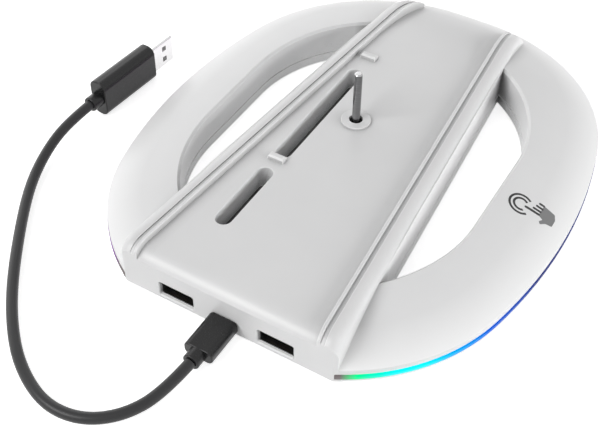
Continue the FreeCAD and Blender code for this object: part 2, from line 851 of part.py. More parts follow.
def usb_a_plug_shell():
    near = collar_a_length + plug_a_length
    far = near + plug_a_shell_reach
    half = plug_a_shell_width / 2
    tall = plug_a_shell_height / 2
    outer = box(-half, half, near, far, -tall, tall)
    outer = outer.makeFillet(plug_a_shell_corner, [e for e in outer.Edges if e.BoundBox.YLength > tall])
    inner = box(-half + plug_a_shell_wall, half - plug_a_shell_wall, near, far,
                -tall + plug_a_shell_wall, tall - plug_a_shell_wall)
    inner = inner.makeFillet(plug_a_shell_corner - plug_a_shell_wall,
                             [e for e in inner.Edges if e.BoundBox.YLength > tall])
    holes = []
    for side in (-1, 1):
        x = side * plug_a_hole_spread / 2
        y = far - plug_a_hole_back
        holes.append(box(x - plug_a_hole / 2, x + plug_a_hole / 2, y - plug_a_hole, y, -tall, tall))
    return at_plug_a(outer.cut(inner).cut(Part.makeCompound(holes)))


def usb_a_plug_insert():
    near = collar_a_length + plug_a_length
    half = plug_a_shell_width / 2 - plug_a_shell_wall - plug_a_insert_gap
    low = -plug_a_shell_height / 2 + plug_a_shell_wall + plug_a_insert_gap
    return at_plug_a(box(-half, half, near, near + plug_a_shell_reach - plug_a_insert_gap,
                         low, low + plug_a_insert_height))


def power_cord():
    """Straight runs joined by tangent arcs as large as the runs allow."""
    points = [Vector(x, behind(y), z) for x, y, z in cord_route]
    edges = []
    start = points[0]
    for before, corner, after in zip(points, points[1:], points[2:]):
        inward = corner - before
        outward = after - corner
        half_turn = inward.getAngle(outward) / 2
        reach = cord_turn_share * min(inward.Length, outward.Length)
        radius = reach / math.tan(half_turn)
        print("cord radius", round(radius, 1))
        arc_start = corner - inward.normalize() * reach
        arc_end = corner + outward.normalize() * reach
        to_middle = ((arc_start + arc_end) * 0.5 - corner).normalize()
        bow = corner + to_middle * (radius / math.cos(half_turn) - radius)
        edges.append(Part.LineSegment(start, arc_start).toShape())
        edges.append(Part.Arc(arc_start, bow, arc_end).toShape())
        start = arc_end
    edges.append(Part.LineSegment(start, points[-1]).toShape())
    path = Part.Wire(edges)
    section = Part.Wire(Part.Circle(points[0], points[1] - points[0], cord_radius).toShape())
    tube = path.makePipeShell([section], True, False)
    print("cord length", round(path.Length, 1), "volume share",
          round(tube.Volume / (math.pi * cord_radius ** 2 * path.Length), 4))
    return tube


nodes = {
    "top_shell": top_shell(),
    "bottom_cover": bottom_cover(),
    "light_strip": light_strip(),
    "led_flex": led_flex(),
    "leds": leds(),
    "touch_pad": touch_pad(),
    "hub_board": hub_board(),
    "board_screws": board_screws(),
    "hub_chip": chip(hub_chip_place, hub_chip_size),
    "light_chip": chip(light_chip_place, light_chip_size),
    "usb_a_left_shell": usb_a_shell(-usb_a_x),
    "usb_a_right_shell": usb_a_shell(usb_a_x),
    "usb_a_left_tongue": usb_a_tongue(-usb_a_x),
    "usb_a_right_tongue": usb_a_tongue(usb_a_x),
    "usb_c_socket_shell": usb_c_socket_shell(),
    "usb_c_socket_tongue": usb_c_socket_tongue(),
    "console_screw": console_screw(),
    "housing_screws": housing_screws(),
    "usb_c_plug_body": usb_c_plug_body(),
    "usb_c_plug_shell": usb_c_plug_shell(),
    "usb_c_plug_collar": usb_c_plug_collar(),
    "power_cord": power_cord(),
    "usb_a_plug_collar": usb_a_plug_collar(),
    "usb_a_plug_body": usb_a_plug_body(),
    "usb_a_plug_shell": usb_a_plug_shell(),
    "usb_a_plug_insert": usb_a_plug_insert(),
}
for foot, (foot_x, foot_y) in foot_spots().items():
    pad = cylinder(foot_radius, foot_x, foot_y, 0, foot_height)
    nodes[foot] = pad.makeFillet(foot_round, [e for e in pad.Edges if e.BoundBox.ZMax < hole_clearance])

os.makedirs("parts", exist_ok=True)
for name, shape in nodes.items():
    print(name, "solids", len(shape.Solids), "valid", shape.isValid(), "volume", round(shape.Volume, 1))
    shape.exportStep("parts/%s.step" % name)
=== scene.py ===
import math

import bmesh
import bpy
from mathutils import Matrix, Vector
from mathutils.bvhtree import BVHTree


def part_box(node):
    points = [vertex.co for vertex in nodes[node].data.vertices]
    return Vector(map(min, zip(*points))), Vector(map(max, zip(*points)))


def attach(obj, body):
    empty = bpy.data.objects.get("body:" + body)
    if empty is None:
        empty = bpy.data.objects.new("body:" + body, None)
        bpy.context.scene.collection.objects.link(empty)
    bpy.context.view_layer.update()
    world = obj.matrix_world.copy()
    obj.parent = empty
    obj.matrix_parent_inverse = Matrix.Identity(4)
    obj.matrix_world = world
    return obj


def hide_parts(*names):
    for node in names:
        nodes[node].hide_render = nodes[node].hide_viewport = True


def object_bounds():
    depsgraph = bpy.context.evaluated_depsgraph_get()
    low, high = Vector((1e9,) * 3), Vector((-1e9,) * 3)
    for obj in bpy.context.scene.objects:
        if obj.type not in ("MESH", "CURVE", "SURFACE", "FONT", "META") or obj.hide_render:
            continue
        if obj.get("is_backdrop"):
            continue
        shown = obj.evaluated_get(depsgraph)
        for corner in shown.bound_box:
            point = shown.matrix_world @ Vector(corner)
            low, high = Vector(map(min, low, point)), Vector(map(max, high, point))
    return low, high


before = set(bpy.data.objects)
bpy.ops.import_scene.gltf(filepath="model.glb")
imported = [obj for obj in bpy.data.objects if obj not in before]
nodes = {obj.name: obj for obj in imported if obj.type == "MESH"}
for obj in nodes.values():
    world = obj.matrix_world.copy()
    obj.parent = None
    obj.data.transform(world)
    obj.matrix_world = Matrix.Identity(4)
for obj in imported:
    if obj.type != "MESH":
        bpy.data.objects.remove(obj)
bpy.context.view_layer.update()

collection = bpy.context.scene.collection


# Top shell: the white housing, one injection moulding with the domed ring, the deck, its rails and the
# two D-openings. It is satin ABS from a finely spark-eroded mould, with slightly softened edges.
def moulding(name, dark, light, roughness, grain, relief, edge):
    """Moulded plastic whose colour drifts slightly, with the mould's fine grain and softened edges."""
    material = bpy.data.materials.new(name)
    material.use_nodes = True
    tree = material.node_tree
    skin = tree.nodes["Principled BSDF"]
    place = tree.nodes.new("ShaderNodeTexCoord")
    drift = tree.nodes.new("ShaderNodeTexNoise")
    drift.inputs["Scale"].default_value = 35.0
    drift.inputs["Detail"].default_value = 3.0
    tint = tree.nodes.new("ShaderNodeValToRGB")
    tint.color_ramp.elements[0].position = 0.3
    tint.color_ramp.elements[0].color = (*dark, 1.0)
    tint.color_ramp.elements[1].position = 0.7
    tint.color_ramp.elements[1].color = (*light, 1.0)
    pits = tree.nodes.new("ShaderNodeTexNoise")
    pits.inputs["Scale"].default_value = 1.0 / grain
    pits.inputs["Detail"].default_value = 2.0
    gloss = tree.nodes.new("ShaderNodeMapRange")
    gloss.inputs["To Min"].default_value = roughness - 0.05
    gloss.inputs["To Max"].default_value = roughness + 0.05
    rounding = tree.nodes.new("ShaderNodeBevel")
    rounding.samples = 6
    rounding.inputs["Radius"].default_value = edge
    bump = tree.nodes.new("ShaderNodeBump")
    bump.inputs["Strength"].default_value = 0.25
    bump.inputs["Distance"].default_value = relief
    tree.links.new(place.outputs["Object"], drift.inputs["Vector"])
    tree.links.new(place.outputs["Object"], pits.inputs["Vector"])
    tree.links.new(drift.outputs["Fac"], tint.inputs["Fac"])
    tree.links.new(tint.outputs["Color"], skin.inputs["Base Color"])
    tree.links.new(pits.outputs["Fac"], gloss.inputs["Value"])
    tree.links.new(gloss.outputs["Result"], skin.inputs["Roughness"])
    tree.links.new(pits.outputs["Fac"], bump.inputs["Height"])
    tree.links.new(rounding.outputs["Normal"], bump.inputs["Normal"])
    tree.links.new(bump.outputs["Normal"], skin.inputs["Normal"])
    return material


def white_plastic(name, dark, light):
    """Satin white moulding with painted shade in inner corners and in recesses.

    It has a painted highlight on fine edges, and painted light on upward faces low down towards the rim.
    """
    material = moulding(name, dark, light, roughness=0.34, grain=0.00025, relief=0.00001, edge=0.00015)
    tree = material.node_tree
    place = tree.nodes["Texture Coordinate"]
    # Painted shade: ambient occlusion darkens the colour in inner corners, and far more in recesses such as
    # slots and bores.
    corner = tree.nodes.new("ShaderNodeAmbientOcclusion")
    corner.samples = 8
    corner.only_local = True
    corner.inputs["Distance"].default_value = 0.005
    corner_shade = tree.nodes.new("ShaderNodeMapRange")
    corner_shade.inputs["To Min"].default_value = 0.35
    hollow_shade_ao = tree.nodes.new("ShaderNodeAmbientOcclusion")
    hollow_shade_ao.samples = 8
    hollow_shade_ao.inputs["Distance"].default_value = 0.03
    hollow_shade = tree.nodes.new("ShaderNodeMapRange")
    hollow_shade.inputs["From Min"].default_value = 0.04
    hollow_shade.inputs["From Max"].default_value = 0.085
    shade = tree.nodes.new("ShaderNodeMath")
    shade.operation = "MULTIPLY"
    shaded = tree.nodes.new("ShaderNodeMix")
    shaded.data_type = "RGBA"
    shaded.blend_type = "MULTIPLY"
    shaded.inputs["Factor"].default_value = 1.0
    # Painted highlight: fine edges, and upward faces low down towards the rim, are mixed towards near white.
    edge_highlight_ao = tree.nodes.new("ShaderNodeAmbientOcclusion")
    edge_highlight_ao.samples = 8
    edge_highlight_ao.inside = True
    edge_highlight_ao.only_local = True
    edge_highlight_ao.inputs["Distance"].default_value = 0.00032
    edge_highlight = tree.nodes.new("ShaderNodeMapRange")
    edge_highlight.inputs["From Min"].default_value = 0.95
    edge_highlight.inputs["From Max"].default_value = 0.65
    tilt = tree.nodes.new("ShaderNodeSeparateXYZ")
    upward = tree.nodes.new("ShaderNodeMapRange")
    upward.inputs["From Min"].default_value = 0.5
    upward.inputs["From Max"].default_value = 0.8
    height = tree.nodes.new("ShaderNodeSeparateXYZ")
    rim = tree.nodes.new("ShaderNodeMapRange")
    rim.inputs["From Min"].default_value = 0.0125
    rim.inputs["From Max"].default_value = 0.006
    glow = tree.nodes.new("ShaderNodeMath")
    glow.operation = "MULTIPLY"
    painted_highlight = tree.nodes.new("ShaderNodeMath")
    painted_highlight.operation = "MAXIMUM"
    lit = tree.nodes.new("ShaderNodeMix")
    lit.data_type = "RGBA"
    lit.inputs["B"].default_value = (0.97, 0.97, 0.97, 1.0)
    tree.links.new(corner.outputs["AO"], corner_shade.inputs["Value"])
    tree.links.new(hollow_shade_ao.outputs["AO"], hollow_shade.inputs["Value"])
    tree.links.new(corner_shade.outputs["Result"], shade.inputs[0])
    tree.links.new(hollow_shade.outputs["Result"], shade.inputs[1])
    tree.links.new(tree.nodes["Color Ramp"].outputs["Color"], shaded.inputs["A"])
    tree.links.new(shade.outputs["Value"], shaded.inputs["B"])
    tree.links.new(edge_highlight_ao.outputs["AO"], edge_highlight.inputs["Value"])
    tree.links.new(place.outputs["Normal"], tilt.inputs["Vector"])
    tree.links.new(tilt.outputs["Z"], upward.inputs["Value"])
    tree.links.new(place.outputs["Object"], height.inputs["Vector"])
    tree.links.new(height.outputs["Z"], rim.inputs["Value"])
    tree.links.new(rim.outputs["Result"], glow.inputs[0])
    tree.links.new(upward.outputs["Result"], glow.inputs[1])
    tree.links.new(glow.outputs["Value"], painted_highlight.inputs[0])
    tree.links.new(edge_highlight.outputs["Result"], painted_highlight.inputs[1])
    tree.links.new(shaded.outputs["Result"], lit.inputs["A"])
    tree.links.new(painted_highlight.outputs["Value"], lit.inputs["Factor"])
    tree.links.new(lit.outputs["Result"], tree.nodes["Principled BSDF"].inputs["Base Color"])
    return material


def dress(material, *names):
    """Gives a finish to pieces that keep their shape."""
    for name in names:
        nodes[name].material_slots[0].material = material


dress(white_plastic("white_housing_satin", (0.775, 0.775, 0.778), (0.8, 0.8, 0.802)), "top_shell")


# Touch switch: a brass sensor plate under the right arm, and the sign pad-printed in grey ink above it,
# two ripples round a fingertip. The ink lies straight on the housing.
def plated(name, worn, bright, roughness, streaks, relief):
    """Plated or bare metal with fine streaks along the way it was drawn, rolled or turned."""
    material = bpy.data.materials.new(name)
    material.use_nodes = True
    tree = material.node_tree
    skin = tree.nodes["Principled BSDF"]
    skin.inputs["Metallic"].default_value = 1.0
    place = tree.nodes.new("ShaderNodeTexCoord")
    stretch = tree.nodes.new("ShaderNodeMapping")
    stretch.inputs["Scale"].default_value = streaks
    lines = tree.nodes.new("ShaderNodeTexNoise")
    lines.inputs["Scale"].default_value = 1.0
    lines.inputs["Detail"].default_value = 3.0
    tint = tree.nodes.new("ShaderNodeValToRGB")
    tint.color_ramp.elements[0].position = 0.3
    tint.color_ramp.elements[0].color = (*worn, 1.0)
    tint.color_ramp.elements[1].position = 0.7
    tint.color_ramp.elements[1].color = (*bright, 1.0)
    gloss = tree.nodes.new("ShaderNodeMapRange")
    gloss.inputs["To Min"].default_value = roughness - 0.04
    gloss.inputs["To Max"].default_value = roughness + 0.04
    bump = tree.nodes.new("ShaderNodeBump")
    bump.inputs["Strength"].default_value = 0.2
    bump.inputs["Distance"].default_value = relief
    tree.links.new(place.outputs["Object"], stretch.inputs["Vector"])
    tree.links.new(stretch.outputs["Vector"], lines.inputs["Vector"])
    tree.links.new(lines.outputs["Fac"], tint.inputs["Fac"])
    tree.links.new(tint.outputs["Color"], skin.inputs["Base Color"])
    tree.links.new(lines.outputs["Fac"], gloss.inputs["Value"])
    tree.links.new(gloss.outputs["Result"], skin.inputs["Roughness"])
    tree.links.new(lines.outputs["Fac"], bump.inputs["Height"])
    tree.links.new(bump.outputs["Normal"], skin.inputs["Normal"])
    return material


brass = plated("sensor_brass", (0.6, 0.42, 0.2), (0.72, 0.52, 0.28),
               roughness=0.35, streaks=(4000, 400, 400), relief=0.000003)
dress(brass, "touch_pad")

ink_line = 0.00083
ink_lift = 0.00003
ink_grid = 0.0008
above_arm = 0.1
sign_middle = Vector((0.06385, -0.0061, 0))
sign_turn = Matrix.Rotation(math.radians(30.4), 3, "Z")
housing = BVHTree.FromObject(nodes["top_shell"], bpy.context.evaluated_depsgraph_get())


def ripple(ink, radius, start_deg, sweep_deg):
    """Open ring of ink, drawn by sweeping a short stroke round the fingertip."""
    stroke = []
    for side in (-1, 1):
        stroke += bmesh.ops.create_vert(ink, co=(radius + side * ink_line / 2, 0, 0))["vert"]
    start = Matrix.Rotation(math.radians(start_deg), 3, "Z")
    bmesh.ops.rotate(ink, verts=stroke, cent=(0, 0, 0), matrix=start)
    edge = ink.edges.new(stroke)
    bmesh.ops.spin(ink, geom=stroke + [edge], cent=(0, 0, 0), axis=(0, 0, 1), angle=math.radians(sweep_deg),
                   steps=40, use_merge=False, use_duplicate=False)


def finger(ink, tip, knuckle, width):
    """Round-ended bar of ink from a fingertip to its knuckle."""
    run = Vector(knuckle) - Vector(tip)
    made = bmesh.ops.create_grid(ink, x_segments=6, y_segments=1, size=0.5)["verts"]
    bmesh.ops.scale(ink, verts=made, vec=(run.length, width, 1))
    ends = [v for v in made if len(v.link_edges) == 2]
    rounded = bmesh.ops.bevel(ink, geom=ends, offset=width * 0.48, offset_type="OFFSET", segments=5,
                              profile=0.5, affect="VERTICES", material=-1)
    made = list({v for v in made if v.is_valid} | set(rounded["verts"]))
    pointing = Matrix.Rotation(math.atan2(run.y, run.x), 3, "Z")
    bmesh.ops.rotate(ink, verts=made, cent=(0, 0, 0), matrix=pointing)
    bmesh.ops.translate(ink, verts=made, vec=((tip[0] + knuckle[0]) / 2, (tip[1] + knuckle[1]) / 2, 0))


def print_on_arm(ink):
    """Lays flat ink on the domed arm, facing up."""
    for _ in range(2):
        bmesh.ops.triangulate(ink, faces=ink.faces[:])
        long_edges = [e for e in ink.edges if e.calc_length() > ink_grid]
        bmesh.ops.subdivide_edges(ink, edges=long_edges, cuts=1)
    bmesh.ops.triangulate(ink, faces=ink.faces[:])
    for dot in ink.verts:
        spot = sign_middle + sign_turn @ dot.co
        spot.z = above_arm
        dot.co = housing.ray_cast(spot, Vector((0, 0, -1)))[0] + Vector((0, 0, ink_lift))
    ink.normal_update()
    bmesh.ops.reverse_faces(ink, faces=[f for f in ink.faces if f.normal.z < 0])


index_width = 0.001
finger_width = 0.0009
lines = bmesh.new()
ripple(lines, radius=0.0041, start_deg=25, sweep_deg=265)
ripple(lines, radius=0.0025, start_deg=20, sweep_deg=260)
finger(lines, (0.0013, -0.0006), (0.0066, -0.003), index_width)
finger(lines, (0.0043, -0.0003), (0.0074, -0.0017), finger_width)
finger(lines, (0.0057, 0.0009), (0.0083, -0.0004), finger_width)
finger(lines, (0.007, 0.0021), (0.0091, 0.0011), finger_width)
print_on_arm(lines)

palm_round = 0.0003
palm_corners = [
    (0.0061, -0.0031),
    (0.0088, 0.0014),
    (0.0125, -0.0011),
    (0.0123, -0.0034),
    (0.0106, -0.0063),
    (0.0082, -0.0059),
    (0.0061, -0.0067),
    (0.0059, -0.0055),
    (0.0074, -0.0046),
]
palm = bmesh.new()
outline = [bmesh.ops.create_vert(palm, co=(x, y, 0))["vert"][0] for x, y in palm_corners]
bmesh.ops.contextual_create(palm, geom=outline)
bmesh.ops.bevel(palm, geom=outline, offset=palm_round, offset_type="OFFSET", segments=3, profile=0.5,
                affect="VERTICES", material=-1)
print_on_arm(palm)


def new_piece(name, shape, material, body):
    """Makes a finished shape a piece of the object."""
    mesh = bpy.data.meshes.new(name)
    shape.to_mesh(mesh)
    shape.free()
    mesh.materials.append(material)
    piece = bpy.data.objects.new(name, mesh)
    collection.objects.link(piece)
    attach(piece, body)


dark_ink = moulding("sign_ink_dark", (0.02, 0.02, 0.021), (0.028, 0.028, 0.029),
                    roughness=0.45, grain=0.0002, relief=0.000004, edge=0.00002)
grey_ink = moulding("sign_ink_grey", (0.19, 0.19, 0.192), (0.22, 0.22, 0.222),
                    roughness=0.45, grain=0.0002, relief=0.000004, edge=0.00002)
new_piece("touch_sign_lines", lines, dark_ink, "stand")
new_piece("touch_sign_palm", palm, grey_ink, "stand")


# Hub board: green glass-fibre board with its two chips, screwed up to three posts behind the front face.
# Copper tracks show through the solder mask.
def solder_mask(name, mask, track):
    """Glossy lacquer over copper tracks, which stand up a little."""
    material = bpy.data.materials.new(name)
    material.use_nodes = True
    tree = material.node_tree
    skin = tree.nodes["Principled BSDF"]
    skin.inputs["Roughness"].default_value = 0.35
    place = tree.nodes.new("ShaderNodeTexCoord")
    tracks = tree.nodes.new("ShaderNodeTexBrick")
    tracks.inputs["Color1"].default_value = (*mask, 1.0)
    tracks.inputs["Color2"].default_value = (mask[0] * 0.8, mask[1] * 0.85, mask[2] * 0.8, 1.0)
    tracks.inputs["Mortar"].default_value = (*track, 1.0)
    tracks.inputs["Scale"].default_value = 400.0
    tracks.inputs["Mortar Size"].default_value = 0.04
    bump = tree.nodes.new("ShaderNodeBump")
    bump.inputs["Strength"].default_value = 0.3
    bump.inputs["Distance"].default_value = 0.00003
    tree.links.new(place.outputs["Object"], tracks.inputs["Vector"])
    tree.links.new(tracks.outputs["Color"], skin.inputs["Base Color"])
    tree.links.new(tracks.outputs["Fac"], bump.inputs["Height"])
    tree.links.new(bump.outputs["Normal"], skin.inputs["Normal"])
    return material


dress(solder_mask("board_green", (0.02, 0.16, 0.06), (0.05, 0.3, 0.12)), "hub_board")
epoxy = moulding("chip_epoxy", (0.018, 0.018, 0.019), (0.026, 0.026, 0.027),
                 roughness=0.55, grain=0.00012, relief=0.00001, edge=0.00005)
dress(epoxy, "hub_chip", "light_chip")
zinc = plated("zinc_plate", (0.5, 0.5, 0.5), (0.64, 0.64, 0.63),
              roughness=0.3, streaks=(2500, 2500, 600), relief=0.000003)
dress(zinc, "board_screws")


# Sockets: folded nickel-plated steel shells round black contact tongues, soldered to the board.
# Each USB-A tongue carries four gold-plated spring contacts on its lower side.
nickel = plated("nickel_plate", (0.7, 0.7, 0.7), (0.8, 0.8, 0.8),
                roughness=0.2, streaks=(900, 6000, 900), relief=0.000002)
# The socket shells get a darker copy of the nickel: painted shade inside the port windows.
shaded_nickel = plated("socket_nickel_painted_shade", (0.3, 0.3, 0.3), (0.4, 0.4, 0.4),
                     roughness=0.3, streaks=(900, 6000, 900), relief=0.000002)
dress(shaded_nickel, "usb_a_left_shell", "usb_a_right_shell", "usb_c_socket_shell")
socket_black = moulding("socket_black_nylon", (0.012, 0.012, 0.012), (0.018, 0.018, 0.018),
                        roughness=0.5, grain=0.0002, relief=0.00001, edge=0.00008)
dress(socket_black, "usb_a_left_tongue", "usb_a_right_tongue", "usb_c_socket_tongue")
gold = plated("gold_plate", (0.75, 0.5, 0.16), (0.86, 0.62, 0.24),
              roughness=0.22, streaks=(600, 5000, 600), relief=0.000002)
contact_pitch = 0.0022
contact_size = (0.001, 0.0068, 0.0002)
tongue_underside = 0.0058
contact_front = 0.0048
contact_round = 0.00005
for side in ("left", "right"):
    low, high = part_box("usb_a_%s_tongue" % side)
    contacts = bmesh.new()
    for step in (-1.5, -0.5, 0.5, 1.5):
        leaf = bmesh.ops.create_cube(contacts, size=1.0)["verts"]
        bmesh.ops.scale(contacts, verts=leaf, vec=contact_size)
        bmesh.ops.translate(contacts, verts=leaf, vec=(
            (low.x + high.x) / 2 + step * contact_pitch,
            low.y + contact_front,
            tongue_underside))
    bmesh.ops.bevel(contacts, geom=contacts.edges[:], offset=contact_round, offset_type="OFFSET", segments=2,
                    profile=0.5, affect="EDGES", material=-1)
    new_piece("usb_a_%s_contacts" % side, contacts, gold, "stand")


# Light strip: a frosted acrylic light guide pressed into the rim, with its face just proud of it. A flexible
# strip of lights shines from inside, and the colour runs from green at the front right to purple at the left.
magenta = (0.3, 0.0, 0.35)
purple = (0.15, 0.0, 0.25)
bare_end = (0.17, 0.15, 0.15)
green = (0.0, 0.9, 0.25)
cyan = (0.0, 0.95, 0.95)
azure = (0.0, 0.4, 0.9)
blue = (0.0, 0.1, 0.65)
navy = (0.0, 0.01, 0.15)
violet = (0.15, 0.0, 0.35)


def lit_acrylic(name, glow):
    """Frosted light guide that glows in a ring of colours round the middle of the stand."""
    material = bpy.data.materials.new(name)
    material.use_nodes = True
    tree = material.node_tree
    skin = tree.nodes["Principled BSDF"]
    skin.inputs["Emission Strength"].default_value = glow
    skin.inputs["Specular IOR Level"].default_value = 0.06
    place = tree.nodes.new("ShaderNodeTexCoord")
    around = tree.nodes.new("ShaderNodeTexGradient")
    around.gradient_type = "RADIAL"
    colours = tree.nodes.new("ShaderNodeValToRGB")
    ring = colours.color_ramp
    for stop, turn in zip(ring.elements, (0.0, 1.0)):
        stop.position = turn
        stop.color = (*magenta, 1.0)
    for turn, hue in (
        (0.17, purple),
        (0.18, bare_end),
        (0.3175, bare_end),
        (0.323, green),
        (0.345, cyan),
        (0.355, cyan),
        (0.375, azure),
        (0.4, blue),
        (0.45, navy),
        (0.54, navy),
        (0.75, violet),
    ):
        ring.elements.new(turn).color = (*hue, 1.0)
    unlit = tree.nodes.new("ShaderNodeHueSaturation")
    unlit.inputs["Value"].default_value = 0.2
    frost = tree.nodes.new("ShaderNodeTexNoise")
    frost.inputs["Scale"].default_value = 3000.0
    gloss = tree.nodes.new("ShaderNodeMapRange")
    gloss.inputs["To Min"].default_value = 0.3
    gloss.inputs["To Max"].default_value = 0.45
    tree.links.new(place.outputs["Object"], around.inputs["Vector"])
    tree.links.new(around.outputs["Fac"], colours.inputs["Fac"])
    tree.links.new(colours.outputs["Color"], unlit.inputs["Color"])
    tree.links.new(unlit.outputs["Color"], skin.inputs["Base Color"])
    tree.links.new(colours.outputs["Color"], skin.inputs["Emission Color"])
    tree.links.new(place.outputs["Object"], frost.inputs["Vector"])
    tree.links.new(frost.outputs["Fac"], gloss.inputs["Value"])
    tree.links.new(gloss.outputs["Result"], skin.inputs["Roughness"])
    return material


most_tilt = 0.1
end_faces_front = 0.98
least_outward = 0.3


def looks_out(wall):
    """True for a wall round the outside of the strip, and not for its two ends at the front."""
    outward = wall.calc_center_median()
    outward.z = 0
    upright = abs(wall.normal.z) <= most_tilt
    front_end = wall.normal.y < -end_faces_front
    return upright and not front_end and wall.normal.dot(outward.normalized()) >= least_outward


light_guide = lit_acrylic("lit_light_guide", glow=0.95)
dress(light_guide, "light_strip")
face_step = 0.00045
same_point = 0.000001
face = bmesh.new()
face.from_mesh(nodes["light_strip"].data)
bmesh.ops.remove_doubles(face, verts=face.verts[:], dist=same_point)
face.normal_update()
bmesh.ops.delete(face, geom=[wall for wall in face.faces if not looks_out(wall)], context="FACES")
face.normal_update()
for corner in face.verts:
    corner.co += corner.normal * face_step
bmesh.ops.solidify(face, geom=face.faces[:], thickness=face_step)
new_piece("light_strip_face", face, light_guide, "stand")
flex = moulding("flex_polyimide", (0.72, 0.7, 0.62), (0.8, 0.78, 0.7),
                roughness=0.4, grain=0.0003, relief=0.000005, edge=0.00003)
dress(flex, "led_flex")
lens = moulding("led_lens", (0.8, 0.78, 0.55), (0.86, 0.84, 0.66),
                roughness=0.2, grain=0.0003, relief=0.000004, edge=0.00005)
dress(lens, "leds")


# Bottom cover: the flat white moulding that closes the housing from below. Seven zinc-plated screws, sunk
# in round pockets, hold it to the housing.
# The cover's white is painted a little lighter than the housing's: painted light on the lower band. It also
# carries the housing's painted shade and painted highlight.
dress(white_plastic("white_cover_satin", (0.81, 0.81, 0.812), (0.84, 0.84, 0.842)), "bottom_cover")
dress(zinc, "housing_screws")


# Console screw: turned and polished steel, held loosely in the boss so that it turns by its slot below.
# Its rod is painted darker than its faced end, as painted shade, and the shank in the bore is painted black,
# as painted shade.
steel = plated("polished_steel", (0.5, 0.5, 0.505), (0.62, 0.62, 0.625),
               roughness=0.2, streaks=(300, 300, 9000), relief=0.000002)
deck_top = 0.0183
bore_shade_top = 0.0188
tree = steel.node_tree
place = tree.nodes["Texture Coordinate"]
turned = tree.nodes.new("ShaderNodeBevel")
turned.samples = 8
turned.inputs["Radius"].default_value = 0.0003
# Painted shade: the rod takes a darker steel than upward faces such as the faced end.
rod_painted_shade = tree.nodes.new("ShaderNodeValToRGB")
rod_painted_shade.color_ramp.elements[0].position = 0.3
rod_painted_shade.color_ramp.elements[0].color = (0.2, 0.2, 0.203, 1.0)
rod_painted_shade.color_ramp.elements[1].position = 0.7
rod_painted_shade.color_ramp.elements[1].color = (0.3, 0.3, 0.304, 1.0)
slope = tree.nodes.new("ShaderNodeSeparateXYZ")
ends = tree.nodes.new("ShaderNodeMix")
ends.data_type = "RGBA"
# Painted shade: below the deck the shank in the bore is painted black.
level = tree.nodes.new("ShaderNodeSeparateXYZ")
reach = tree.nodes.new("ShaderNodeMapRange")
reach.inputs["From Min"].default_value = deck_top
reach.inputs["From Max"].default_value = bore_shade_top
bore_painted_shade = tree.nodes.new("ShaderNodeValToRGB")
bore_painted_shade.color_ramp.elements[0].color = (0.02, 0.02, 0.02, 1.0)
# This mix multiplies the painted shade of the bore into the steel colour.
finish = tree.nodes.new("ShaderNodeMix")
finish.data_type = "RGBA"
finish.blend_type = "MULTIPLY"
finish.inputs["Factor"].default_value = 1.0
tree.links.new(turned.outputs["Normal"], tree.nodes["Bump"].inputs["Normal"])
tree.links.new(tree.nodes["Noise Texture"].outputs["Fac"], rod_painted_shade.inputs["Fac"])
tree.links.new(place.outputs["Normal"], slope.inputs["Vector"])
tree.links.new(slope.outputs["Z"], ends.inputs["Factor"])
tree.links.new(rod_painted_shade.outputs["Color"], ends.inputs["A"])
tree.links.new(tree.nodes["Color Ramp"].outputs["Color"], ends.inputs["B"])
tree.links.new(place.outputs["Object"], level.inputs["Vector"])
tree.links.new(level.outputs["Z"], reach.inputs["Value"])
tree.links.new(reach.outputs["Result"], bore_painted_shade.inputs["Fac"])
tree.links.new(ends.outputs["Result"], finish.inputs["A"])
tree.links.new(bore_painted_shade.outputs["Color"], finish.inputs["B"])
tree.links.new(finish.outputs["Result"], tree.nodes["Principled BSDF"].inputs["Base Color"])
dress(steel, "console_screw")


# Power cord: black round cable of soft PVC over its wires, moulded into a plug at each end. The USB-C plug
# sits in its socket and the cord lies on the floor in one loose bend to the USB-A plug.
plug_black = moulding("plug_black_satin", (0.01, 0.01, 0.0105), (0.014, 0.014, 0.0145),
                      roughness=0.26, grain=0.0003, relief=0.000003, edge=0.0002)
dress(plug_black, "usb_c_plug_body", "usb_c_plug_collar", "usb_a_plug_body", "usb_a_plug_collar",
      "power_cord")
dress(nickel, "usb_c_plug_shell", "usb_a_plug_shell")
insert_white = moulding("insert_white_nylon", (0.72, 0.72, 0.71), (0.8, 0.8, 0.79),
                        roughness=0.4, grain=0.0002, relief=0.00001, edge=0.00008)
dress(insert_white, "usb_a_plug_insert")
cord_black = moulding("cord_black_soft", (0.022, 0.022, 0.023), (0.03, 0.03, 0.031),
                      roughness=0.38, grain=0.0003, relief=0.000003, edge=0.0001)
for black in (plug_black, cord_black):
    black.node_tree.nodes["Principled BSDF"].inputs["Specular IOR Level"].default_value = 0.35
cord_radius = 0.002
front_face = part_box("top_shell")[0].y
cord_route = [
    (0.0, -0.0194, 0.0047),
    (-0.0015, -0.0325, 0.003),
    (-0.007, -0.0443, 0.0022),
    (-0.0166, -0.0523, 0.0021),
    (-0.029, -0.0542, 0.0021),
    (-0.042, -0.0495, 0.0021),
    (-0.055, -0.0405, 0.0021),
    (-0.071, -0.0235, 0.0021),
    (-0.0902, 0.004, 0.0021),
    (-0.1005, 0.022, 0.0022),
    (-0.1046, 0.0385, 0.005),
    (-0.1043, 0.051, 0.0074),
    (-0.1036, 0.0605, 0.0078),
]
line = bpy.data.curves.new("cord_line", "CURVE")
line.dimensions = "3D"
line.bevel_depth = cord_radius
line.bevel_resolution = 6
line.resolution_u = 16
line.use_fill_caps = True
spline = line.splines.new("NURBS")
spline.points.add(len(cord_route) - 1)
for point, (x, y, z) in zip(spline.points, cord_route):
    point.co = (x, y + front_face, z, 1.0)
spline.order_u = 3
spline.use_endpoint_u = True
line.materials.append(cord_black)
cable = bpy.data.objects.new("cable", line)
collection.objects.link(cable)
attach(cable, "stand")
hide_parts("power_cord")


